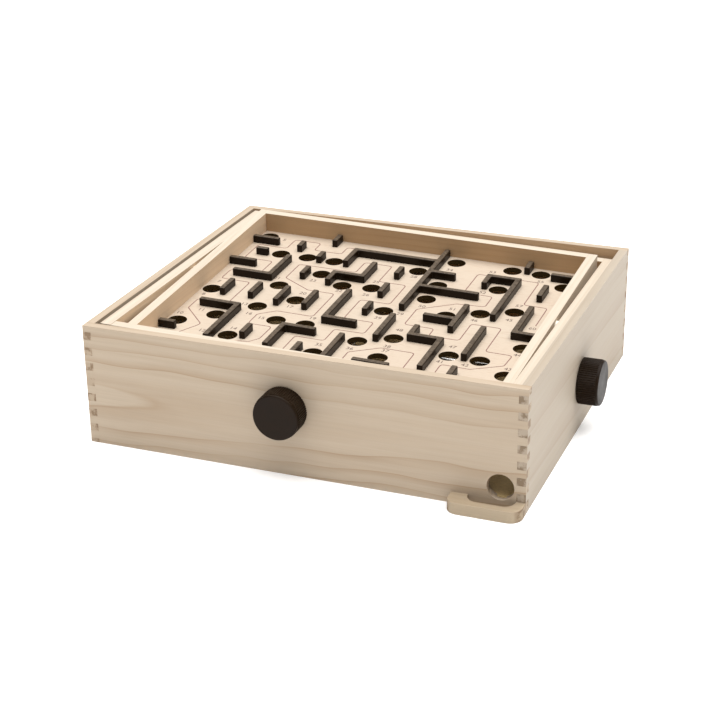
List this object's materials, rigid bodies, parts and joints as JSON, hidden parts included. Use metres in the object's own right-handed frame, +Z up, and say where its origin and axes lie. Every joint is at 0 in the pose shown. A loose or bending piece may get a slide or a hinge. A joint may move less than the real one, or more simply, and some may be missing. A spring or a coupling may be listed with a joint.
{
  "type": "tilt maze game",
  "caption": "Wooden tilt maze game: a finger-jointed box with two nested tilting frames, a maze board with holes and walls, two knobs and a ball exit tray.",
  "frame": {"origin": "on the table plane, under the middle of the whole object's bounding box, knobs included; the middle of the box itself is at x = -8 mm, y = +8 mm", "axes": "+X to the right along the long side, towards the side with the side knob; +Y to the back; the front knob and the ball tray face -Y; +Z up"},
  "size_m": [0.341, 0.298, 0.0959],
  "materials": {
    "box_wood": "whitewashed pine, matte lacquer",
    "frame_wood": "pale pine, matte lacquer",
    "board_wood": "printed birch plywood",
    "hardboard": "smooth brown hardboard",
    "maze_wall_plastic": "satin dark brown",
    "knob_plastic": "matte black-brown, ribbed",
    "spacer_plastic": "natural nylon",
    "steel": "bright drawn wire and rod",
    "cord": "braided cord"
  },
  "bodies": {
    "box": {"wall_front": "box_wood", "wall_back": "box_wood", "wall_left": "box_wood", "wall_right": "box_wood", "catch_floor": "hardboard", "ball_tray": "box_wood", "cord_guide_front": "steel", "cord_guide_back": "steel", "cord_guide_left": "steel", "cord_guide_right": "steel", "gimbal_cord": "cord", "maze_cord": "cord", "gimbal_cord_end_left": "cord", "gimbal_cord_end_right": "cord", "maze_cord_end_front": "cord", "maze_cord_end_back": "cord"},
    "gimbal": {"gimbal_rail_front": "frame_wood", "gimbal_rail_back": "frame_wood", "gimbal_rail_left": "frame_wood", "gimbal_rail_right": "frame_wood", "gimbal_pin_front": "steel", "gimbal_pin_back": "steel", "gimbal_spacer_front": "spacer_plastic", "gimbal_spacer_back": "spacer_plastic", "gimbal_hook_left": "steel", "gimbal_hook_right": "steel", "gimbal_spring_left": "steel", "gimbal_spring_right": "steel"},
    "maze": {"maze_rail_front": "frame_wood", "maze_rail_back": "frame_wood", "maze_rail_left": "frame_wood", "maze_rail_right": "frame_wood", "maze_board": "board_wood", "maze_walls_left": "maze_wall_plastic", "maze_walls_middle": "maze_wall_plastic", "maze_walls_right": "maze_wall_plastic", "maze_pin_left": "steel", "maze_pin_right": "steel", "maze_spacer_left": "spacer_plastic", "maze_spacer_right": "spacer_plastic", "maze_hook_front": "steel", "maze_hook_back": "steel", "maze_spring_front": "steel", "maze_spring_back": "steel"},
    "front_shaft": {"front_knob": "knob_plastic", "front_rod": "steel", "front_rod_washer": "steel"},
    "side_shaft": {"side_knob": "knob_plastic", "side_rod": "steel", "side_rod_washer": "steel"}
  },
  "joints": [
    {"name": "gimbal_tilt", "type": "hinge", "parent": "box", "child": "gimbal", "pos_m": [-0.008, 0.008, 0.0795], "axis": [0, 1, 0], "range_deg": [-5.25, 2.75], "deforming": ["gimbal_cord_end_left", "gimbal_cord_end_right"]},
    {"name": "maze_tilt", "type": "hinge", "parent": "gimbal", "child": "maze", "pos_m": [-0.008, 0.008, 0.0795], "axis": [0.9998, 0, -0.0218], "range_deg": [-7, 1], "deforming": ["maze_cord_end_front", "maze_cord_end_back"]},
    {"name": "front_knob_turn", "type": "hinge", "parent": "box", "child": "front_shaft", "pos_m": [-0.017, -0.133, 0.05], "axis": [0, 1, 0], "range_deg": [-213, 112]},
    {"name": "side_knob_turn", "type": "hinge", "parent": "box", "child": "side_shaft", "pos_m": [0.1545, 0.008, 0.0375], "axis": [1, 0, 0], "range_deg": [-222, 32]}
  ],
  "couplings": [
    {"joint": "front_knob_turn", "follows": "gimbal_tilt", "ratio": 40.41},
    {"joint": "side_knob_turn", "follows": "maze_tilt", "ratio": 31.59}
  ]
}
